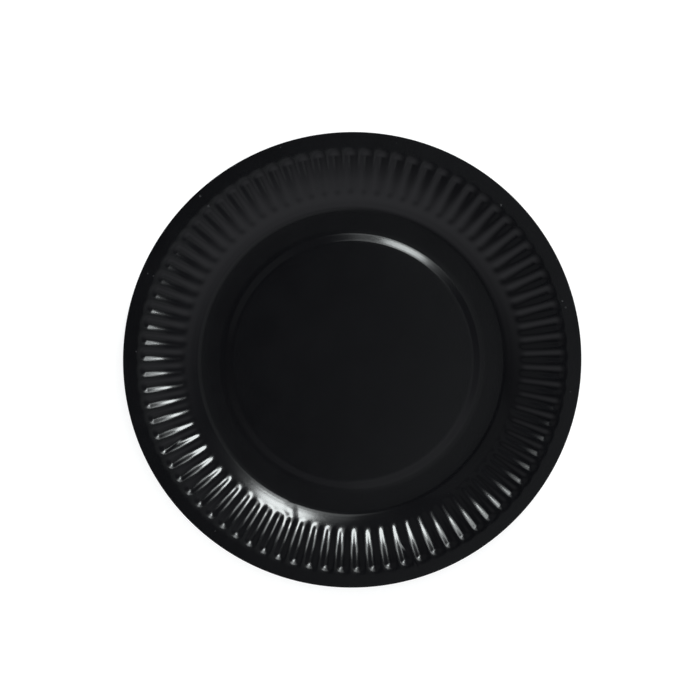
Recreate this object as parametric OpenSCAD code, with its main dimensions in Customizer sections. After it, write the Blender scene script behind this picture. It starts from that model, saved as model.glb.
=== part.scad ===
// A round disposable paper plate, pressed from one sheet of coated board.
// The sheet stands on a flat foot ring. Inside the ring a pressed step lifts
// the centre panel, and outside it a sloped wall with radial flutes climbs to
// a crown and a narrow rim. +Z is up and the origin is under the centre.

/* [Plate] */
// Diameter across the rim
plate_d = 230; // [190:1:270]
// Height of the rim's crown above the table
plate_h = 15; // [12:0.5:20]
// Thickness of the board
board_t = 0.45; // [0.3:0.05:0.7]

/* [Centre] */
// Width of the flat ring that the plate stands on
foot_w = 11.2; // [8:0.1:16]
// Width of the pressed step round the centre panel
step_w = 4.1; // [2.5:0.1:6]
// Height of the centre panel above the foot ring
panel_rise = 1.4; // [0.4:0.1:2]

/* [Wall] */
// Slope of the wall where it is steepest, in degrees from level
wall_angle = 40; // [28:1:45]
// Bend radius between the foot ring and the wall
knee_bend = 8; // [6:0.1:12]
// Bend radius of the long curve from the wall to the rim
crown_bend = 33; // [20:1:36]

/* [Rim] */
// Width of the rim outside the crown bend
rim_w = 7; // [5:0.1:14]
// Drop of the cut edge below the crown
rim_drop = 0.3; // [0.1:0.1:1]

/* [Flutes] */
// Number of flutes round the wall
flutes = 81; // [60:1:100]
// Radial length of one flute
flute_l = 25; // [18:0.5:28]
// How far the flutes reach onto the rim
flute_over = 0.5; // [0:0.1:2]
// Depth of a flute where it starts, low on the wall
flute_depth_in = 0.9; // [0.3:0.05:1.2]
// Depth of a flute where it ends, under the rim
flute_depth_out = 1.2; // [0.8:0.05:2]
// Length of the rounded low end of a flute
flute_end_in = 3.8; // [1.5:0.1:5]
// Length of the eased high end of a flute
flute_end_out = 3.9; // [1.5:0.1:5]
// Direction of the first flute, in degrees from the X axis
flute_turn = 1; // [0:0.1:4]

/* [Hidden] */

// Radii of the profile's corners, worked inwards from the rim
rim_r = plate_d / 2;
crown_r = rim_r - rim_w;
crown_rise = crown_bend * (1 - cos(wall_angle));
knee_rise = knee_bend * (1 - cos(wall_angle));
slope_rise = plate_h - board_t - crown_rise - knee_rise;
slope_end_r = crown_r - crown_bend * sin(wall_angle);
knee_r = slope_end_r - slope_rise / tan(wall_angle);
foot_r = knee_r - knee_bend * sin(wall_angle);
step_r = foot_r - foot_w;
panel_r = step_r - step_w;

// Tips of the flutes, and the radii where their shaped ends begin
flute_out_r = crown_r + flute_over;
flute_in_r = flute_out_r - flute_l;
flute_low_r = flute_in_r + flute_end_in;
flute_high_r = flute_out_r - flute_end_out;

// Columns of facets: one, two or four to a flute
coarse = flutes;
medium = 2 * flutes;
fine = 4 * flutes;

// Height of the upper face along a crest, at radius r
function crest_z(r) =
    r <= panel_r ? board_t + panel_rise
    : r <= step_r ? board_t + panel_rise * (1 + cos(180 * (r - panel_r) / step_w)) / 2
    : r <= foot_r ? board_t
    : r <= knee_r ? board_t + knee_bend - sqrt(pow(knee_bend, 2) - pow(r - foot_r, 2))
    : r <= slope_end_r ? board_t + knee_rise + (r - knee_r) * tan(wall_angle)
    : r <= crown_r ? plate_h - crown_bend + sqrt(pow(crown_bend, 2) - pow(crown_r - r, 2))
    : plate_h - rim_drop * pow((r - crown_r) / rim_w, 2);

// How far along a flute's end of this length a point lies: 0 at the tip, 1 past it
function end_share(distance, length) = min(max(distance / length, 0), 1);

// A rounded end is a quarter sine wave and dips at once from its tip
function rounded_end(distance, length) = sin(90 * end_share(distance, length));

// An eased end is half a cosine wave and leaves its tip level
function eased_end(distance, length) = (1 - cos(180 * end_share(distance, length))) / 2;

// Depth of a flute's floor below the crests, at radius r
function flute_depth(r) =
    let (along = (r - flute_in_r) / flute_l)
    (flute_depth_in + (flute_depth_out - flute_depth_in) * along)
        * rounded_end(r - flute_in_r, flute_end_in)
        * eased_end(flute_out_r - r, flute_end_out);

// Does this column run along a flute's floor? The four columns of a flute are
// crest, floor, floor and crest.
function on_floor(ring, column) =
    ring[1] == fine && (column % 4 == 1 || column % 4 == 2);

function top_z(r, floor) = crest_z(r) - (floor ? flute_depth(r) : 0);

// Angle of the upper face's slope along a column
function slope_angle(r, floor) =
    let (d = 0.01)
    atan((top_z(r + d, floor) - top_z(r - d, floor)) / (2 * d));

// Direction of a column. Coarse and medium columns start on a crest, and fine
// ones lie an eighth of a flute's pitch to each side of crests and floors.
function column_angle(ring, column) =
    flute_turn + 180 / flutes + 360 * (column + (ring[1] == fine ? 0.5 : 0)) / ring[1];

function top_point(ring, column) =
    let (a = column_angle(ring, column))
    [ring[0] * cos(a), ring[0] * sin(a), top_z(ring[0], on_floor(ring, column))];

// The under face is the upper one moved through the board along its normal,
// with the corners of each flute mitred towards the crest beside them.
function under_point(ring, column) =
    let (
        floor = on_floor(ring, column),
        slope = slope_angle(ring[0], floor),
        r = ring[0] + board_t * sin(slope),
        flank = atan(flute_depth(ring[0]) / (PI * ring[0] / medium)),
        mitre = board_t * tan(flank / 2) / r * 180 / PI,
        side = ring[1] != fine ? 0 : column % 4 < 2 ? -1 : 1,
        a = column_angle(ring, column) + side * mitre
    )
    [r * cos(a), r * sin(a), top_z(ring[0], floor) - board_t * cos(slope)];

// The rings of facets, from the centre out, each a radius and its columns
panel_rings = [for (f = [0, 0.25, 0.75, 1]) [panel_r + f * step_w, coarse]];
knee_rings = [for (f = [0, 0.5, 1]) [foot_r + f * (knee_r - foot_r), coarse]];
flute_radii = [
    flute_in_r + flute_end_in * 0.35,
    each [for (k = [0:3]) flute_low_r + (flute_high_r - flute_low_r) * k / 3],
    flute_out_r - flute_end_out * 0.4
];
rings = concat(
    panel_rings,
    [for (k = knee_rings) if (k[0] < flute_in_r) k],
    [[flute_in_r, coarse]],
    [for (r = flute_radii) [r, fine]],
    [[flute_out_r, medium], [rim_r, medium]]
);

// Index of each ring's first point, and the number of points in one face
first = [for (i = 0, n = 0; i <= len(rings); n = n + (i < len(rings) ? rings[i][1] : 0), i = i + 1) n];
face_points = first[len(rings)];

// Triangles between ring i and the next one out, clockwise from above. Each
// column of the ring with fewer columns fans out to its share of the other.
function band(i) =
    let (
        inner = rings[i][1],
        outer = rings[i + 1][1],
        p = function (c) first[i] + (c + inner) % inner,
        q = function (c) first[i + 1] + (c + outer) % outer,
        few = min(inner, outer),
        share = max(inner, outer) / few,
        back = floor(share / 2)
    )
    [for (c = [0:few - 1]) each
        inner <= outer
        ? concat(
            [for (s = [0:share - 1]) [p(c), q(c * share - back + s + 1), q(c * share - back + s)]],
            [[p(c), p(c + 1), q(c * share - back + share)]])
        : concat(
            [for (s = [0:share - 1]) [q(c), p(c * share - back + s), p(c * share - back + s + 1)]],
            [[q(c), p(c * share - back + share), q(c + 1)]])
    ];

// The pressed sheet: an upper face, an under face and the cut edge round them
module plate() {
    last = len(rings) - 1;
    top_faces = concat(
        [[for (c = [coarse - 1:-1:0]) c]],
        [for (i = [0:last - 1]) each band(i)]);
    under_faces = [for (f = top_faces) [for (k = [len(f) - 1:-1:0]) f[k] + face_points]];
    edge_faces = [for (c = [0:medium - 1])
        let (a = first[last] + c, b = first[last] + (c + 1) % medium)
        each [[a, b, b + face_points], [a, b + face_points, a + face_points]]];
    points = concat(
        [for (ring = rings) for (c = [0:ring[1] - 1]) top_point(ring, c)],
        [for (ring = rings) for (c = [0:ring[1] - 1]) under_point(ring, c)]);
    color("#1c1c1e")
        polyhedron(points, concat(top_faces, under_faces, edge_faces));
}

plate();
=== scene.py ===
"""A round paper plate, pressed from one sheet of black coated board.

The plate is one closed surface. Its upper face comes from the slope of the
pressed profile at a few radii and from the wave of the flutes. Its under face
is the upper one moved through the board along its normal, and the cut edge
joins the two. Lengths are in metres, and the plate stands on z = 0.
"""

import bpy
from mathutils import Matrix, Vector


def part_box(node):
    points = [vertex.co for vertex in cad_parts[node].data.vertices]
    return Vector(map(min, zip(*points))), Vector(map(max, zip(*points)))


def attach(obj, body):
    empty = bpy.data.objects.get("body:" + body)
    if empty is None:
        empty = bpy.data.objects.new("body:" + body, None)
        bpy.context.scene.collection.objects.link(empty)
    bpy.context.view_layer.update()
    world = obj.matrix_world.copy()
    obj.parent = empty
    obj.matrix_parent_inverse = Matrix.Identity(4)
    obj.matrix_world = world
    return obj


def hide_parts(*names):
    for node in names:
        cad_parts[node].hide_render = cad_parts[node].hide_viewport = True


bl_info = {
    "name": "Pressed paper plate",
    "version": (1, 0, 0),
    "blender": (4, 5, 0),
    "location": "3D View > Sidebar > Plate",
    "description": "Presses a fluted paper plate and sets a plain studio round it",
    "category": "Add Mesh",
}

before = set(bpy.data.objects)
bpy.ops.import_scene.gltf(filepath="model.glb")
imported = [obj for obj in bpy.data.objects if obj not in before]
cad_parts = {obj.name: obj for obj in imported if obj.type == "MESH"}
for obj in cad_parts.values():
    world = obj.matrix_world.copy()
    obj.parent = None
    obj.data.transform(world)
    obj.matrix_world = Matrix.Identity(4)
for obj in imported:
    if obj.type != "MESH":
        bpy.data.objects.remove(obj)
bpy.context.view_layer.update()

import math

import bpy
import numpy as np
from bpy.props import FloatProperty, FloatVectorProperty, IntProperty, PointerProperty
from mathutils import Vector

MM = 0.001
PLATE_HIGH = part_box("plate")[1]

# The photograph is 700 pixels wide. The rim's circle is 228.5 pixels in radius,
# and its centre lies this far right of the picture's centre and below it.
PHOTO_SIDE = 700
RIM_RADIUS_PX = 228.5
RIM_RIGHT_PX = 2.2
RIM_BELOW_PX = 9.8

# Slope of the wall along a crest, as shares of its steepest angle: first at
# these millimetres outside the foot ring, then at these inside the crown.
KNEE_SLOPES = (
    (0, 0), (0.9, 0.25), (1.6, 0.44), (2.3, 0.64), (3, 0.77), (3.5, 0.772), (4.2, 0.755),
    (4.7, 0.79), (5.3, 0.87), (6, 0.92), (7.1, 1), (7.8, 1.035))
CROWN_SLOPES = (
    (23.7, 1), (22.15, 0.9), (20.2, 0.83), (16.25, 0.72), (14.3, 0.62), (12.3, 0.54),
    (10.3, 0.47), (5.3, 0.32), (1.5, 0.2), (0, 0))

# Folds that the sheet has picked up. Each is a valley from one point to another,
# given in millimetres right of the plate's centre and above it in the picture,
# with its widths to the right and to the left of the way along it and its depth.
FOLDS = (
    ((-80.5, -37.3), (-86.7, -40.1), 0.7, 0.7, 0.05),
    ((-85.8, -38.7), (-94.9, -47.2), 1.5, 1.1, 0.31),
    ((24.3, -92.2), (30.6, -99.8), 0.9, 0.9, 0.34),
    ((29.6, -98.8), (33.3, -104.7), 0.7, 0.7, 0.08),
    ((-31.9, -71.4), (-30.3, -84.8), 4.5, 4.5, 0.38),
)

# Pale spots on the rim, in the same millimetres: partly the coat rubbed grey, partly painted
# glints of small dents. Each has its place and half its size, and all lie at one height.
SCUFF_AND_GLINT_HEIGHT = 14.8
SCUFFS_AND_GLINTS = (
    (-76.6, 82.4, 0.8), (-72.3, 77.2, 0.9), (-102.9, 43.4, 0.6), (-100.0, 42.2, 0.7),
    (-108.8, 4.2, 0.6), (74.9, 77.9, 0.8), (105.8, 29.6, 0.7), (107.4, 26.3, 0.8),
    (109.9, -16.0, 0.5), (-36.1, 106.9, 0.5), (-69.0, -86.2, 0.5), (22.4, 109.1, 0.4))

# Fine streaks round the foot of the wall fade in over the first of these pairs of
# radii and fade out over the second, in the same millimetres.
STREAKS_IN = (76.5, 78)
STREAKS_OUT = (83, 85)

# Columns of faces to a flute, and the seed of the flutes' small differences
COLUMNS_PER_FLUTE = 11
FLUTE_SEED = 7

# The room that the gloss shows: its colour, the way in which it grows lighter,
# and how far along that way the change starts and ends.
ROOM_COLOUR = (0.93, 0.94, 1)
ROOM_WAY = (0.1, -1, -0.41)
ROOM_SPAN = (-0.55, 0.95)

# The lamps' colour, the width and height of the key lamp's spill, and the place
# above the plate and the width and height of the fill.
LAMP_COLOUR = (0.95, 1, 1)
SPILL_FACE = (0.8, 1.1)
FILL_PLACE = (0, 0, 3)
FILL_FACE = (3, 3)

# Dim lamps that the gloss shows. Those on the dome round the plate are the glow
# round the key lamp and a weak one at the left: azimuth and elevation in degrees,
# distance, width, height and radiance. Those of the ceiling face straight down:
# X, Y, Z, width, height and radiance.
DOME_LAMPS = {
    "spill_wide": (71, 44, 3.2, 1.7, 1.25, 1.176),
    "halo": (67, 37, 3.3, 2.4, 2.5, 0.294),
    "left": (143, 34, 3.3, 2.2, 2.4, 0.065),
}
CEILING_LAMPS = {
    "ceiling": (2.2, -0.25, 4.5, 4.5, 4.5, 0.1),
    "ceiling_near": (1.48, -1.53, 4.4, 3, 3, 0.08),
    "ceiling_far": (1.8, 1.6, 4.3, 3.2, 2.9, 0.07),
}


class PlateForm(bpy.types.PropertyGroup):
    """Sizes of the pressed sheet."""

    rim_diameter: FloatProperty(
        name="Rim diameter",
        description="Width of the plate across its cut edge",
        default=2 * PLATE_HIGH.y, min=0.15, max=0.3, unit="LENGTH")
    height: FloatProperty(
        name="Height",
        description="Height of the crown above the table",
        default=PLATE_HIGH.z, min=0.008, max=0.03, unit="LENGTH")
    board: FloatProperty(
        name="Board",
        description="Thickness of the board",
        default=0.45 * MM, min=0.2 * MM, max=1 * MM, unit="LENGTH")
    rim_width: FloatProperty(
        name="Rim width",
        description="Width of the rim outside the crown's bend",
        default=7 * MM, min=5 * MM, max=20 * MM, unit="LENGTH")
    edge_angle: FloatProperty(
        name="Edge angle",
        description="How steeply the rim turns down at its cut edge",
        default=math.radians(0.5), min=0, max=math.radians(30), subtype="ANGLE")
    wall_angle: FloatProperty(
        name="Wall angle",
        description="Slope of the wall from level where it is steepest",
        default=math.radians(40), min=math.radians(20), max=math.radians(50), subtype="ANGLE")
    foot_radius: FloatProperty(
        name="Foot radius",
        description="Outer radius of the flat ring that the plate stands on",
        default=76.1 * MM, min=50 * MM, max=100 * MM, unit="LENGTH")
    foot_width: FloatProperty(
        name="Foot width",
        description="Width of the flat ring that the plate stands on",
        default=11 * MM, min=5 * MM, max=20 * MM, unit="LENGTH")
    step_width: FloatProperty(
        name="Step width",
        description="Width of the pressed step round the centre panel",
        default=4.4 * MM, min=2 * MM, max=8 * MM, unit="LENGTH")
    step_angle: FloatProperty(
        name="Step angle",
        description="Slope of the step's face from level",
        default=math.radians(21.5), min=0, max=math.radians(45), subtype="ANGLE")
    panel_fall: FloatProperty(
        name="Panel fall",
        description="Slope of the centre panel where it reaches the step",
        default=math.radians(2), min=0, max=math.radians(6), subtype="ANGLE")
    step_lean: FloatProperty(
        name="Step lean",
        description="Share of the step's height that it gains on one side and loses on the other",
        default=0.37, min=0, max=0.6, subtype="FACTOR")
    lean_azimuth: FloatProperty(
        name="Lean azimuth",
        description="Direction of the step's high side from the X axis",
        default=math.radians(62), subtype="ANGLE")
    shift_x: FloatProperty(
        name="Shift along X",
        description="How far the pressing lies off the rim's centre along X",
        default=0.05 * MM, min=-2 * MM, max=2 * MM, unit="LENGTH")
    shift_y: FloatProperty(
        name="Shift along Y",
        description="How far the pressing lies off the rim's centre along Y",
        default=-0.67 * MM, min=-2 * MM, max=2 * MM, unit="LENGTH")
    ovality: FloatProperty(
        name="Ovality",
        description="How far the rim bulges near the X axis and draws in near the Y axis",
        default=0.38 * MM, min=0, max=2 * MM, unit="LENGTH")
    flutes: IntProperty(
        name="Flutes",
        description="Number of flutes round the wall",
        default=81, min=20, max=140)
    flute_length: FloatProperty(
        name="Flute length",
        description="Radial length of a flute",
        default=25.4 * MM, min=10 * MM, max=30 * MM, unit="LENGTH")
    flute_gap: FloatProperty(
        name="Flute gap",
        description="Distance from the cut edge to the outer ends of the flutes",
        default=6.65 * MM, min=0, max=15 * MM, unit="LENGTH")
    flute_depth_in: FloatProperty(
        name="Flute depth, low end",
        description="Depth of a flute where it starts on the wall",
        default=0.65 * MM, min=0, max=2 * MM, unit="LENGTH")
    flute_depth_out: FloatProperty(
        name="Flute depth, high end",
        description="Depth of a flute where it ends under the rim",
        default=1.33 * MM, min=0, max=3 * MM, unit="LENGTH")
    flute_end_in: FloatProperty(
        name="Low end length",
        description="Length of a flute's eased low end",
        default=4.7 * MM, min=0.5 * MM, max=8 * MM, unit="LENGTH")
    flute_end_out: FloatProperty(
        name="High end length",
        description="Length of a flute's swept high end",
        default=4.2 * MM, min=0.5 * MM, max=8 * MM, unit="LENGTH")
    flute_turn: FloatProperty(
        name="Flute turn",
        description="Direction of the first flute from the X axis",
        default=math.radians(1.02), subtype="ANGLE")
    flute_drift: FloatProperty(
        name="Flute drift",
        description="How far the flutes crowd round towards the left of the picture",
        default=math.radians(0.55), subtype="ANGLE")
    unevenness: FloatProperty(
        name="Unevenness",
        description="How much the flutes differ from one another",
        default=0.05, min=0, max=0.3, subtype="FACTOR")


class BoardFinish(bpy.types.PropertyGroup):
    """Colours and gloss of the board."""

    coat: FloatVectorProperty(
        name="Coat",
        description="Colour of the printed and coated upper face",
        default=(0.0021, 0.0021, 0.0027), min=0, max=1, size=3, subtype="COLOR")
    coat_roughness: FloatProperty(
        name="Coat roughness",
        description="Roughness of the coat: 0 is a mirror",
        default=0.18, min=0, max=1, subtype="FACTOR")
    streak_depth: FloatProperty(
        name="Streak depth",
        description="Depth of the fine streaks round the foot of the wall",
        default=0.016 * MM, min=0, max=0.1 * MM, precision=6, unit="LENGTH")
    grain_depth: FloatProperty(
        name="Grain depth",
        description="Depth of the board's grain in the gloss",
        default=0.006 * MM, min=0, max=0.1 * MM, precision=6, unit="LENGTH")
    # Colour of the rim's pale spots: rubbed coat, and painted glints of small dents.
    scuff_and_glint: FloatVectorProperty(
        name="Scuff",
        description="Colour where the coat is rubbed",
        default=(0.027, 0.027, 0.029), min=0, max=1, size=3, subtype="COLOR")
    back: FloatVectorProperty(
        name="Back",
        description="Colour of the bare under face",
        default=(0.72, 0.7, 0.66), min=0, max=1, size=3, subtype="COLOR")
    core: FloatVectorProperty(
        name="Core",
        description="Colour of the board where it is cut",
        default=(0.6, 0.56, 0.48), min=0, max=1, size=3, subtype="COLOR")


class StudioSet(bpy.types.PropertyGroup):
    """Lamps, floor and camera."""

    camera_height: FloatProperty(
        name="Camera height",
        description="Height of the camera above the rim",
        default=2.5, min=0.5, max=10, unit="LENGTH")
    key_azimuth: FloatProperty(
        name="Key azimuth",
        description="Direction of the key lamp from the X axis",
        default=math.radians(65), subtype="ANGLE")
    key_elevation: FloatProperty(
        name="Key elevation",
        description="Height of the key lamp above the horizon",
        default=math.radians(20.8), subtype="ANGLE")
    key_distance: FloatProperty(
        name="Key distance",
        description="Distance of the key lamp from the plate",
        default=3, min=0.5, max=5, unit="LENGTH")
    key_width: FloatProperty(
        name="Key width",
        description="Width of the key lamp's face",
        default=0.98, min=0.05, max=3, unit="LENGTH")
    key_height: FloatProperty(
        name="Key height",
        description="Height of the key lamp's face",
        default=1.14, min=0.05, max=3, unit="LENGTH")
    key_radiance: FloatProperty(
        name="Key radiance",
        description="Brightness of the key lamp's face",
        default=21, min=0)
    spill: FloatProperty(
        name="Spill",
        description="Brightness of the key lamp's spill above it, as a share of the lamp's",
        default=0.2, min=0, max=1, subtype="FACTOR")
    spill_elevation: FloatProperty(
        name="Spill elevation",
        description="Height of the key lamp's spill above the horizon",
        default=math.radians(43), subtype="ANGLE")
    fill: FloatProperty(
        name="Fill",
        description="Brightness of the lamp above the plate, which gloss doesn't show",
        default=2.6, min=0)
    room_dark: FloatProperty(
        name="Dark side",
        description="Brightness of the room's dark side and ceiling",
        default=0.022, min=0)
    room_light: FloatProperty(
        name="Light side",
        description="Brightness of the room's near side",
        default=0.46, min=0)
    room_walls: FloatProperty(
        name="Walls",
        description="Brightness that the room gains all round towards the horizon",
        default=0.07, min=0)
    floor_paint: FloatProperty(
        name="Floor paint",
        description="Level of the floor's matt grey",
        default=0.32, min=0, max=1, subtype="FACTOR")
    floor_glow: FloatProperty(
        name="Floor glow",
        description="Light that the floor adds of its own, for rays that see it directly",
        default=0.78, min=0)
    floor_width: FloatProperty(
        name="Floor width",
        description="Width of the square floor",
        default=12, min=1, unit="LENGTH")


def end_share(distance, length):
    """How far along a flute's shaped end a point lies: 0 at the tip and 1 past its length."""
    return np.clip(distance / length, 0, 1)


def eased_end(distance, length):
    """Half a cosine wave of the end's share, level at the tip and at the floor."""
    return (1 - np.cos(end_share(distance, length) * math.pi)) / 2


def swept_end(distance, length):
    """One less a quarter of a cosine wave of the end's share, level at the tip alone."""
    return 1 - np.cos(end_share(distance, length) * math.pi / 2)


def ring_radii(form):
    """Radii of the rings of the upper face, closest together where the profile bends.

    Each stretch is its first radius, its last and its number of rings.
    """
    rim = form.rim_diameter / 2
    flute_out = rim - form.flute_gap
    flute_in = flute_out - form.flute_length
    step = form.foot_radius - form.foot_width
    panel = step - form.step_width
    stretches = [
        (12 * MM, panel - 1 * MM, 4),
        (panel, step, 8),
        (step + 2.5 * MM, form.foot_radius, 3),
        (form.foot_radius + 0.35 * MM, flute_in - 0.4 * MM, 15),
        (flute_in, flute_in + form.flute_end_in, 9),
        (flute_in + form.flute_end_in + 1 * MM,
         flute_out - form.flute_end_out - 0.6 * MM, 19),
        (flute_out - form.flute_end_out, flute_out, 9),
        (flute_out + 0.8 * MM, rim, 4),
    ]
    return np.concatenate([np.linspace(*stretch) for stretch in stretches])


def column_angles(form):
    """Angles of the columns, evenly spaced and three times as close across each fold."""
    count = form.flutes * COLUMNS_PER_FLUTE
    even = np.arange(count) * 2 * math.pi / count
    pitch = 2 * math.pi / count
    half_zone = math.radians(2.4)
    angles = [even]
    for (x0, y0), (x1, y1), *_ in FOLDS:
        azimuth = math.atan2(y0 + y1, x0 + x1)
        away = np.abs((even - azimuth + math.pi) % (2 * math.pi) - math.pi)
        near = even[away < half_zone]
        angles += [near + pitch / 3, near + pitch * 2 / 3]
    return np.unique(np.round(np.concatenate(angles), 7))


def crest_heights(form, radii):
    """Height of the upper face along a crest.

    The slope is known at a few radii and runs straight between them. The
    panel falls over its last 25 mm, and the foot ring is a little hollow. The
    slope's tangent is summed outwards, and the wall's part is scaled so that
    the crown comes to the plate's height.
    """
    rim = form.rim_diameter / 2
    crown = rim - form.rim_width
    step = form.foot_radius - form.foot_width
    panel = step - form.step_width
    bend = 0.5 * MM
    hollow = math.radians(0.4)
    stations = [
        (panel - 25 * MM, 0),
        (panel - 10 * MM, -form.panel_fall / 2),
        (panel, -form.panel_fall),
        (panel + bend, -form.step_angle),
        (step - bend, -form.step_angle),
        (step, -hollow),
        (form.foot_radius - 2 * MM, hollow),
        *[(form.foot_radius + out * MM, share * form.wall_angle) for out, share in KNEE_SLOPES],
        *[(crown - inside * MM, share * form.wall_angle) for inside, share in CROWN_SLOPES],
        (rim, -form.edge_angle),
    ]
    at, slope = np.array(stations).T
    samples = 6000
    r = np.linspace(0, rim, samples)
    gradient = np.tan(np.interp(r, at, slope))
    rise = np.concatenate([[0], np.cumsum((gradient[1:] + gradient[:-1]) / 2 * np.diff(r))])
    rise -= rise[r > step].min()
    foot = np.interp(form.foot_radius, r, rise)
    wall = r > form.foot_radius
    climb = form.height - form.board - foot
    rise[wall] = foot + (rise[wall] - foot) * climb / (rise.max() - foot)
    return form.board + np.interp(radii, r, rise)


def flute_wave(phase):
    """Depth across a flute, 0 on its crest and 1 on its floor.

    It is a cosine wave less a little of its third harmonic, which makes the
    flanks steeper and the crests and floors broader.
    """
    third = -0.0465
    return (1 - (np.cos(phase) + third * np.cos(3 * phase)) / (1 + third)) / 2


def flute_floor(form, radii, angles):
    """Depth of the face below the crests, on a grid of radii and angles.

    Along a flute the depth grows with the square root of the way from its low
    tip, between shaped ends. The flutes drift from their even places by one
    wave round the plate and a smaller double wave. Each has its own small
    change of place, depth and low end, which vanish on the crests.
    """
    low_end_play = 8 * MM
    rim = form.rim_diameter / 2
    flute_out = rim - form.flute_gap
    flute_in = flute_out - form.flute_length
    drift = form.flute_drift * (
        0.29 * np.cos(2 * angles + math.radians(28)) - np.sin(angles + math.radians(11)))
    pitches = (angles - form.flute_turn + drift) * form.flutes / (2 * math.pi) + 0.5
    number = np.floor(pitches).astype(int) % form.flutes
    phase = (pitches % 1) * 2 * math.pi
    rng = np.random.RandomState(FLUTE_SEED)
    change = rng.uniform(-1, 1, (3, form.flutes)) * form.unevenness
    across = flute_wave(phase + 2 * change[0][number] * np.sin(phase))
    depth = 1 + change[1][number]
    start = flute_in + low_end_play * change[2][number]
    along = np.clip((radii - flute_in) / form.flute_length, 0, 1)[:, None]
    grown = form.flute_depth_in + (form.flute_depth_out - form.flute_depth_in) * np.sqrt(along)
    ends = (eased_end(radii[:, None] - start[None, :], form.flute_end_in)
            * swept_end(flute_out - radii, form.flute_end_out)[:, None])
    return grown * ends * (depth * across)[None, :]


def leaning_panel(form, radii, angles, crests):
    """Height that the panel gains on its high side and loses opposite, as a flat tilt."""
    panel = form.foot_radius - form.foot_width - form.step_width
    raised = np.where(radii < form.foot_radius, crests - form.board, 0)
    tilt = np.minimum(radii / panel, 1) * raised * form.step_lean
    return tilt[:, None] * np.cos(angles - form.lean_azimuth)


def outward_warp(form, radii, angles):
    """How far the face lies outside its even radius, on a grid of radii and angles.

    The pressing is shifted off the rim's centre, and the shift fades out
    across the rim. The whole sheet is oval, more so with the radius squared,
    and longest 12 degrees round from the X axis.
    """
    rim = form.rim_diameter / 2
    fade = 1 - end_share(radii - (rim - form.rim_width), form.rim_width)
    shift = form.shift_x * np.cos(angles) + form.shift_y * np.sin(angles)
    oval = form.ovality * np.cos(2 * angles - math.radians(24))
    return fade[:, None] * shift + (radii / rim)[:, None] ** 2 * oval


def fold_depth(x, y):
    """Depth of the folds: across its line each is a cosine valley, and along it a parabola."""
    depth = np.zeros_like(x)
    for start, end, right, left, deep in FOLDS:
        start, end = np.array(start) * MM, np.array(end) * MM
        length = np.linalg.norm(end - start)
        way = (end - start) / length
        along = ((x - start[0]) * way[0] + (y - start[1]) * way[1]) / length
        across = (x - start[0]) * way[1] - (y - start[1]) * way[0]
        across /= np.where(across > 0, right, left) * MM
        valley = (1 + np.cos(np.clip(across, -1, 1) * math.pi)) / 2
        depth += deep * MM * valley * np.clip(1 - (2 * along - 1) ** 2, 0, 1)
    return depth


def upper_face(form, radii, angles):
    """Points of the upper face, rings by columns by three."""
    crests = crest_heights(form, radii)
    out = radii[:, None] + outward_warp(form, radii, angles)
    x = out * np.cos(angles)
    y = out * np.sin(angles)
    heights = (crests[:, None] - flute_floor(form, radii, angles)
               + leaning_panel(form, radii, angles, crests) - fold_depth(x, y))
    return np.stack([x, y, heights], axis=2)


def face_normals(points, radii):
    """Unit normals of a ring grid: the cross product of its differences out and round."""
    along = np.gradient(points, radii, axis=0)
    around = np.roll(points, -1, axis=1) - np.roll(points, 1, axis=1)
    normals = np.cross(along, around)
    return normals / np.linalg.norm(normals, axis=2, keepdims=True)


def closed_grid(rows, columns):
    """Corners of the faces of a grid, closed round its columns and by a point at each end."""
    row = np.arange(rows - 1)[:, None] * columns
    column = np.arange(columns)[None, :]
    beside = (column + 1) % columns
    quads = np.stack([
        row + column, row + columns + column, row + columns + beside, row + beside], axis=2)
    first_pole = rows * columns
    last_row = (rows - 1) * columns
    ring = np.arange(columns)
    after = (ring + 1) % columns
    top_fan = np.stack([np.full(columns, first_pole), ring, after], axis=1)
    under_fan = np.stack([
        np.full(columns, first_pole + 1), last_row + after, last_row + ring], axis=1)
    return quads.reshape(-1, 4), top_fan, under_fan


def mesh_from_arrays(name, points, quads, triangles, slots):
    """A mesh from whole arrays: points, faces of four corners and of three, and their slots."""
    mesh = bpy.data.meshes.new(name)
    corners = np.concatenate([quads.ravel(), triangles.ravel()]).astype(np.int32)
    sizes = np.concatenate([np.full(len(quads), 4), np.full(len(triangles), 3)])
    starts = np.concatenate([[0], np.cumsum(sizes)[:-1]]).astype(np.int32)
    mesh.vertices.add(len(points))
    mesh.vertices.foreach_set("co", points.astype(np.float32).ravel())
    mesh.loops.add(len(corners))
    mesh.loops.foreach_set("vertex_index", corners)
    mesh.polygons.add(len(sizes))
    mesh.polygons.foreach_set("loop_start", starts)
    mesh.polygons.foreach_set("material_index", slots.astype(np.int32))
    mesh.polygons.foreach_set("use_smooth", np.ones(len(sizes), bool))
    mesh.update(calc_edges=True)
    mesh.validate()
    return mesh


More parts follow.
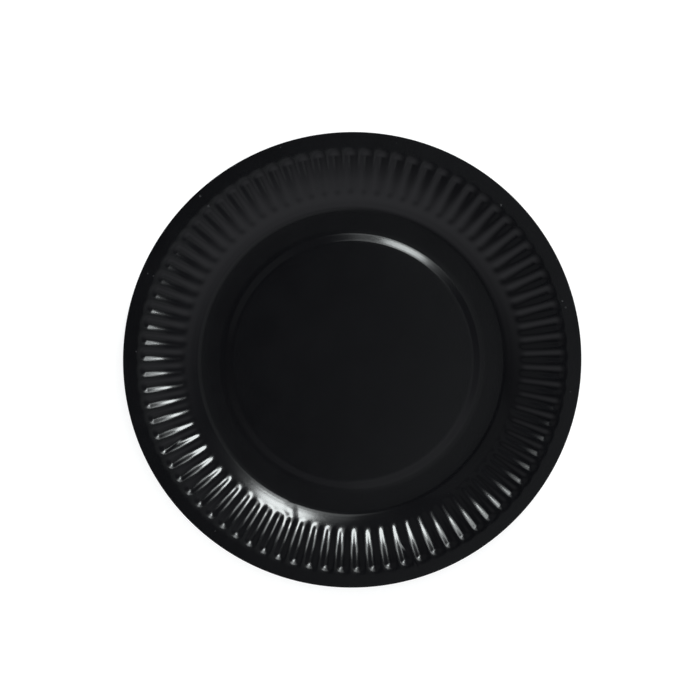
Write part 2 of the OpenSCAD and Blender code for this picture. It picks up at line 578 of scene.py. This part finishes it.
def pressed_sheet(form):
    """The whole sheet as one closed mesh, its faces in the slots of coat, core and back.

    The under face has every third ring of the upper one. The cut edge bulges
    a little, and the coat laps a tenth of the way down it.
    """
    angles = column_angles(form)
    columns = len(angles)
    radii = ring_radii(form)
    top = upper_face(form, radii, angles)
    under = top - form.board * face_normals(top, radii)
    outward = np.stack([np.cos(angles), np.sin(angles), np.zeros(columns)], axis=1)
    bulge = 0.03 * MM
    edge = [top[-1] + (under[-1] - top[-1]) * share + outward * bulge for share in (0.1, 0.9)]
    grid = np.concatenate([top, np.array(edge), under[::-3]])
    panel_z = top[0, :, 2].mean()
    poles = np.array([[0, 0, panel_z], [0, 0, panel_z - form.board]])
    quads, top_fan, under_fan = closed_grid(len(grid), columns)
    row = np.repeat(np.arange(len(grid) - 1), columns)
    slots = np.select([row < len(top), row < len(top) + 2], [0, 1], 2)
    slots = np.concatenate([slots, np.zeros(columns), np.full(columns, 2)])
    points = np.concatenate([grid.reshape(-1, 3), poles])
    fans = np.concatenate([top_fan, under_fan])
    mesh = mesh_from_arrays("pressed_sheet", points, quads, fans, slots)
    mesh.set_sharp_from_angle(angle=math.radians(50))
    return mesh


def new_material(name):
    """A material with an empty node tree, its Principled shader and its output."""
    material = bpy.data.materials.new(name)
    material.use_nodes = True
    nodes = material.node_tree.nodes
    nodes.clear()
    shader = nodes.new("ShaderNodeBsdfPrincipled")
    output = nodes.new("ShaderNodeOutputMaterial")
    material.node_tree.links.new(shader.outputs["BSDF"], output.inputs["Surface"])
    return material, nodes, material.node_tree.links, shader


def maths(nodes, links, operation, *values):
    """The result of a Math node on these values, each a socket or a number."""
    node = nodes.new("ShaderNodeMath")
    node.operation = operation
    for slot, value in zip(node.inputs, values):
        if isinstance(value, bpy.types.NodeSocket):
            links.new(value, slot)
        else:
            slot.default_value = value
    return node.outputs["Value"]


def stretched(nodes, links, place, scale):
    """The place with its three parts multiplied by three numbers."""
    drawn = nodes.new("ShaderNodeVectorMath")
    drawn.operation = "MULTIPLY"
    drawn.inputs[1].default_value = scale
    links.new(place, drawn.inputs[0])
    return drawn.outputs["Vector"]


def noise(nodes, links, vector, scale, detail):
    """A noise from 0 to 1 at this place, with this many waves in a metre."""
    grain = nodes.new("ShaderNodeTexNoise")
    grain.inputs["Scale"].default_value = scale
    grain.inputs["Detail"].default_value = detail
    links.new(vector, grain.inputs["Vector"])
    return grain.outputs["Fac"]


def ranged(nodes, links, value, low, high, to_low, to_high):
    """A value carried smoothly from one range to another and held at its ends."""
    node = nodes.new("ShaderNodeMapRange")
    node.interpolation_type = "SMOOTHSTEP"
    limits = {"From Min": low, "From Max": high, "To Min": to_low, "To Max": to_high}
    for name, number in limits.items():
        node.inputs[name].default_value = number
    links.new(value, node.inputs["Value"])
    return node.outputs["Result"]


def bumped(nodes, links, shader, heights):
    """Bumps the normal with a chain of height sockets, each with its distance."""
    normal = None
    for height, distance in heights:
        bump = nodes.new("ShaderNodeBump")
        bump.inputs["Strength"].default_value = 1
        bump.inputs["Distance"].default_value = distance
        links.new(height, bump.inputs["Height"])
        if normal:
            links.new(normal, bump.inputs["Normal"])
        normal = bump.outputs["Normal"]
    links.new(normal, shader.inputs["Normal"])


def mixed(nodes, links, share, low, high):
    """A colour socket mixed from two colours, each a socket or three numbers."""
    mix = nodes.new("ShaderNodeMix")
    mix.data_type = "RGBA"
    links.new(share, mix.inputs["Factor"])
    for name, colour in (("A", low), ("B", high)):
        slot = next(s for s in mix.inputs if s.name == name and s.type == "RGBA")
        if isinstance(colour, bpy.types.NodeSocket):
            links.new(colour, slot)
        else:
            slot.default_value = (*colour, 1)
    return next(s for s in mix.outputs if s.type == "RGBA")


def tinted(colour, share):
    """A colour at this share of its level."""
    return [part * share for part in colour]


def round_the_plate(nodes, links, place, across, around):
    """The place as radius and angle times these numbers, and the radius alone."""
    parts = nodes.new("ShaderNodeSeparateXYZ")
    links.new(place, parts.inputs["Vector"])
    x, y = parts.outputs["X"], parts.outputs["Y"]
    x_squared = maths(nodes, links, "MULTIPLY", x, x)
    y_squared = maths(nodes, links, "MULTIPLY", y, y)
    radius = maths(nodes, links, "SQRT", maths(nodes, links, "ADD", x_squared, y_squared))
    angle = maths(nodes, links, "ARCTAN2", y, x)
    turned = nodes.new("ShaderNodeCombineXYZ")
    links.new(maths(nodes, links, "MULTIPLY", radius, across), turned.inputs["X"])
    links.new(maths(nodes, links, "MULTIPLY", angle, around), turned.inputs["Y"])
    return turned.outputs["Vector"], radius


def scuff_and_glint_mask(nodes, links, place):
    """1 on the scuffs and 0 elsewhere, with the coat's speckle left in them."""
    grit = noise(nodes, links, place, scale=2500, detail=2)
    speckle = ranged(nodes, links, grit, 0.4, 0.6, 0.35, 1)
    total = None
    for x, y, half in SCUFFS_AND_GLINTS:
        apart = nodes.new("ShaderNodeVectorMath")
        apart.operation = "DISTANCE"
        links.new(place, apart.inputs[0])
        apart.inputs[1].default_value = (x * MM, y * MM, SCUFF_AND_GLINT_HEIGHT * MM)
        near = ranged(nodes, links, apart.outputs["Value"], half * 0.3 * MM, half * MM, 1, 0)
        total = near if total is None else maths(nodes, links, "MAXIMUM", total, near)
    return maths(nodes, links, "MULTIPLY", total, speckle)


def wall_streaks(nodes, links, place):
    """Height of the fine streaks round the foot of the wall, as a share of their depth."""
    turned, radius = round_the_plate(nodes, links, place, across=1000, around=3)
    fade_in = ranged(nodes, links, radius, *(r * MM for r in STREAKS_IN), 0, 1)
    fade_out = ranged(nodes, links, radius, *(r * MM for r in STREAKS_OUT), 1, 0)
    bend = maths(nodes, links, "MULTIPLY", fade_in, fade_out)
    lines = noise(nodes, links, turned, scale=0.9, detail=1)
    return maths(nodes, links, "MULTIPLY", lines, bend)


def coat_material(finish):
    """Black print under a gloss coat.

    The board's grain shows in the gloss, faint cloudiness makes the coat duller
    in patches, and the bend at the wall's foot carries fine streaks round it.
    """
    material, nodes, links, shader = new_material("black_gloss_coat")
    place = nodes.new("ShaderNodeTexCoord").outputs["Object"]
    cloud = noise(nodes, links, place, scale=60, detail=3)
    # Pale grey spots on the rim: partly rubbed coat, partly painted glints of small dents.
    scuffed_and_glinting = scuff_and_glint_mask(nodes, links, place)
    black = mixed(nodes, links, cloud, tinted(finish.coat, 0.8), tinted(finish.coat, 1.2))
    links.new(mixed(nodes, links, scuffed_and_glinting, black, finish.scuff_and_glint), shader.inputs["Base Color"])
    spread = 0.015
    smooth, rough = finish.coat_roughness - spread, finish.coat_roughness + spread
    patchy = ranged(nodes, links, cloud, 0.3, 0.7, smooth, rough)
    dull = maths(nodes, links, "MULTIPLY", scuffed_and_glinting, 0.3)
    links.new(maths(nodes, links, "ADD", patchy, dull), shader.inputs["Roughness"])
    shader.inputs["IOR"].default_value = 1.5
    streaks = wall_streaks(nodes, links, place)
    grain = noise(nodes, links, place, scale=900, detail=4)
    bumped(nodes, links, shader, ((streaks, finish.streak_depth), (grain, finish.grain_depth)))
    return material


def back_material(finish):
    """Bare board: matt and off-white, mottled, with the pulp's fibres lying every way."""
    material, nodes, links, shader = new_material("bare_board")
    place = nodes.new("ShaderNodeTexCoord").outputs["Object"]
    mottle = noise(nodes, links, place, scale=140, detail=4)
    fibres = [noise(nodes, links, stretched(nodes, links, place, lie), scale=420, detail=3)
              for lie in ((1, 7, 1), (7, 1, 1))]
    pulp = maths(nodes, links, "MINIMUM", *fibres)
    both = maths(nodes, links, "ADD", mottle, maths(nodes, links, "MULTIPLY", pulp, 0.6))
    shade = ranged(nodes, links, both, 0.55, 0.95, 0, 1)
    colour = mixed(nodes, links, shade, tinted(finish.back, 0.86), finish.back)
    links.new(colour, shader.inputs["Base Color"])
    links.new(ranged(nodes, links, mottle, 0.3, 0.7, 0.7, 0.85), shader.inputs["Roughness"])
    tooth = noise(nodes, links, place, scale=2200, detail=3)
    bumped(nodes, links, shader, ((pulp, 0.03 * MM), (tooth, 0.012 * MM)))
    return material


def core_material(finish):
    """The cut edge of the board: layers of pulp pressed flat, a little darker in places."""
    material, nodes, links, shader = new_material("board_core")
    place = nodes.new("ShaderNodeTexCoord").outputs["Object"]
    layers = noise(nodes, links, stretched(nodes, links, place, (1, 1, 12)), scale=700, detail=3)
    shade = ranged(nodes, links, layers, 0.3, 0.65, 0, 1)
    colour = mixed(nodes, links, shade, tinted(finish.core, 0.7), finish.core)
    links.new(colour, shader.inputs["Base Color"])
    shader.inputs["Roughness"].default_value = 0.9
    bumped(nodes, links, shader, ((layers, 0.03 * MM),))
    return material


def on_dome(azimuth, elevation, distance):
    """The point at this direction and distance from the plate."""
    return np.array([
        math.cos(azimuth) * math.cos(elevation),
        math.sin(azimuth) * math.cos(elevation),
        math.sin(elevation)]) * distance


def area_lamp(name, place, target, width, height, radiance):
    """An area lamp whose face has this radiance, so its power is that times pi times its area."""
    lamp = bpy.data.lights.new(name, "AREA")
    lamp.shape = "RECTANGLE"
    lamp.size = width
    lamp.size_y = height
    lamp.energy = radiance * math.pi * width * height
    lamp.color = LAMP_COLOUR
    holder = bpy.data.objects.new(name, lamp)
    bpy.context.scene.collection.objects.link(holder)
    holder.location = place
    aim = np.array(target) - np.array(place)
    holder.rotation_euler = Vector(aim).to_track_quat("-Z", "Y").to_euler()
    holder.visible_camera = False
    return holder


def hang_lamps(studio):
    """The key lamp and its spill, the dim lamps that the gloss shows, and the fill."""
    centre = (0, 0, 0)
    key = on_dome(studio.key_azimuth, studio.key_elevation, studio.key_distance)
    area_lamp("key", key, centre, studio.key_width, studio.key_height, studio.key_radiance)
    spill = on_dome(studio.key_azimuth, studio.spill_elevation, studio.key_distance)
    area_lamp("spill", spill, centre, *SPILL_FACE, studio.key_radiance * studio.spill)
    for name, (azimuth, elevation, distance, *face) in DOME_LAMPS.items():
        place = on_dome(math.radians(azimuth), math.radians(elevation), distance)
        area_lamp(name, place, centre, *face)
    for name, (x, y, z, *face) in CEILING_LAMPS.items():
        area_lamp(name, (x, y, z), (x, y, 0), *face)
    fill = area_lamp("fill", FILL_PLACE, centre, *FILL_FACE, studio.fill)
    fill.visible_glossy = False


def seen_directly(nodes, links, *kinds):
    """A socket that is 1 for these kinds of ray from Light Path and 0 for the rest."""
    seen = nodes.new("ShaderNodeLightPath")
    socket = seen.outputs[kinds[0]]
    for kind in kinds[1:]:
        socket = maths(nodes, links, "MAXIMUM", socket, seen.outputs[kind])
    return socket


def studio_world(studio):
    """White to the camera and through glass, and to the rest a dark room with a light side.

    The room's level rises smoothly with a direction's share along ROOM_WAY.
    The walls add to it by one less the square of Z.
    """
    world = bpy.data.worlds.new("studio")
    world.use_nodes = True
    bpy.context.scene.world = world
    nodes, links = world.node_tree.nodes, world.node_tree.links
    nodes.clear()
    place = nodes.new("ShaderNodeTexCoord").outputs["Generated"]
    along = nodes.new("ShaderNodeVectorMath")
    along.operation = "DOT_PRODUCT"
    along.inputs[1].default_value = ROOM_WAY
    links.new(place, along.inputs[0])
    sides = ranged(nodes, links, along.outputs["Value"], *ROOM_SPAN,
                   studio.room_dark, studio.room_light)
    parts = nodes.new("ShaderNodeSeparateXYZ")
    links.new(place, parts.inputs["Vector"])
    square = maths(nodes, links, "MULTIPLY", parts.outputs["Z"], parts.outputs["Z"])
    walls = maths(nodes, links, "MULTIPLY_ADD", square, -studio.room_walls, studio.room_walls)
    room = nodes.new("ShaderNodeBackground")
    room.inputs["Color"].default_value = (*ROOM_COLOUR, 1)
    links.new(maths(nodes, links, "ADD", sides, walls), room.inputs["Strength"])
    white = nodes.new("ShaderNodeBackground")
    white.inputs["Color"].default_value = (1, 1, 1, 1)
    mix = nodes.new("ShaderNodeMixShader")
    output = nodes.new("ShaderNodeOutputWorld")
    direct = seen_directly(nodes, links, "Is Camera Ray", "Is Transmission Ray")
    links.new(direct, mix.inputs["Fac"])
    links.new(room.outputs["Background"], mix.inputs[1])
    links.new(white.outputs["Background"], mix.inputs[2])
    links.new(mix.outputs["Shader"], output.inputs["Surface"])


def floor_material(studio):
    """A matt floor that adds just enough light of its own to read as white out of shadow."""
    material = bpy.data.materials.new("white_floor")
    material.use_nodes = True
    nodes, links = material.node_tree.nodes, material.node_tree.links
    nodes.clear()
    paint = nodes.new("ShaderNodeBsdfDiffuse")
    paint.inputs["Color"].default_value = (*[studio.floor_paint] * 3, 1)
    glow = nodes.new("ShaderNodeEmission")
    direct = seen_directly(
        nodes, links, "Is Camera Ray", "Is Glossy Ray", "Is Transmission Ray")
    links.new(maths(nodes, links, "MULTIPLY", direct, studio.floor_glow), glow.inputs["Strength"])
    add = nodes.new("ShaderNodeAddShader")
    output = nodes.new("ShaderNodeOutputMaterial")
    links.new(paint.outputs["BSDF"], add.inputs[0])
    links.new(glow.outputs["Emission"], add.inputs[1])
    links.new(add.outputs["Shader"], output.inputs["Surface"])
    return material


def lay_floor(studio):
    """A square floor, just below the plate."""
    half = studio.floor_width / 2
    below = -0.1 * MM
    corners = [(-half, -half), (half, -half), (half, half), (-half, half)]
    mesh = bpy.data.meshes.new("floor")
    mesh.from_pydata([(x, y, below) for x, y in corners], [], [(0, 1, 2, 3)])
    mesh.materials.append(floor_material(studio))
    floor = bpy.data.objects.new("floor", mesh)
    bpy.context.scene.collection.objects.link(floor)


def set_camera(form, studio):
    """A camera that looks straight down, with the rim where the photograph has it."""
    camera = bpy.data.cameras.new("camera")
    holder = bpy.data.objects.new("camera", camera)
    bpy.context.scene.collection.objects.link(holder)
    metres_per_px = form.rim_diameter / 2 / RIM_RADIUS_PX
    holder.location = (
        -RIM_RIGHT_PX * metres_per_px,
        RIM_BELOW_PX * metres_per_px,
        form.height + studio.camera_height)
    camera.angle = 2 * math.atan(PHOTO_SIDE * metres_per_px / 2 / studio.camera_height)
    camera.clip_end = 50
    bpy.context.scene.camera = holder


class PLATE_OT_press_sheet(bpy.types.Operator):
    """Press the plate from its sheet of board"""

    bl_idname = "plate.press_sheet"
    bl_label = "Press the plate"

    def execute(self, context):
        scene = context.scene
        mesh = pressed_sheet(scene.plate_form)
        finish = scene.board_finish
        for material in (coat_material(finish), core_material(finish), back_material(finish)):
            mesh.materials.append(material)
        plate = bpy.data.objects.new("pressed_plate", mesh)
        scene.collection.objects.link(plate)
        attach(plate, "root")
        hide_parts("plate")
        return {"FINISHED"}


class PLATE_OT_set_studio(bpy.types.Operator):
    """Set the floor, the lamps, the world and the camera"""

    bl_idname = "plate.set_studio"
    bl_label = "Set the studio"

    def execute(self, context):
        scene = context.scene
        studio = scene.studio_set
        studio_world(studio)
        lay_floor(studio)
        hang_lamps(studio)
        set_camera(scene.plate_form, studio)
        scene.view_settings.view_transform = "Standard"
        return {"FINISHED"}


class VIEW3D_PT_plate(bpy.types.Panel):
    """Lists the steps and their sizes"""

    bl_label = "Pressed plate"
    bl_space_type = "VIEW_3D"
    bl_region_type = "UI"
    bl_category = "Plate"

    def draw(self, context):
        for step in OPERATORS:
            self.layout.operator(step.bl_idname)
        for name, group in GROUPS.items():
            settings = getattr(context.scene, name)
            column = self.layout.column(heading=group.__doc__)
            for key in group.__annotations__:
                column.prop(settings, key)


GROUPS = {"plate_form": PlateForm, "board_finish": BoardFinish, "studio_set": StudioSet}
OPERATORS = (PLATE_OT_press_sheet, PLATE_OT_set_studio)
CLASSES = (*GROUPS.values(), *OPERATORS, VIEW3D_PT_plate)


def register():
    """Registers the classes and gives every scene its settings."""
    for cls in CLASSES:
        bpy.utils.register_class(cls)
    for name, group in GROUPS.items():
        setattr(bpy.types.Scene, name, PointerProperty(type=group))


def unregister():
    """Takes the settings and the classes away again."""
    for name in GROUPS:
        delattr(bpy.types.Scene, name)
    for cls in reversed(CLASSES):
        bpy.utils.unregister_class(cls)


def main():
    """Builds the plate and its studio, and writes both models' boxes."""
    register()
    bpy.ops.plate.press_sheet()
    bpy.ops.plate.set_studio()


if __name__ == "__main__":
    main()
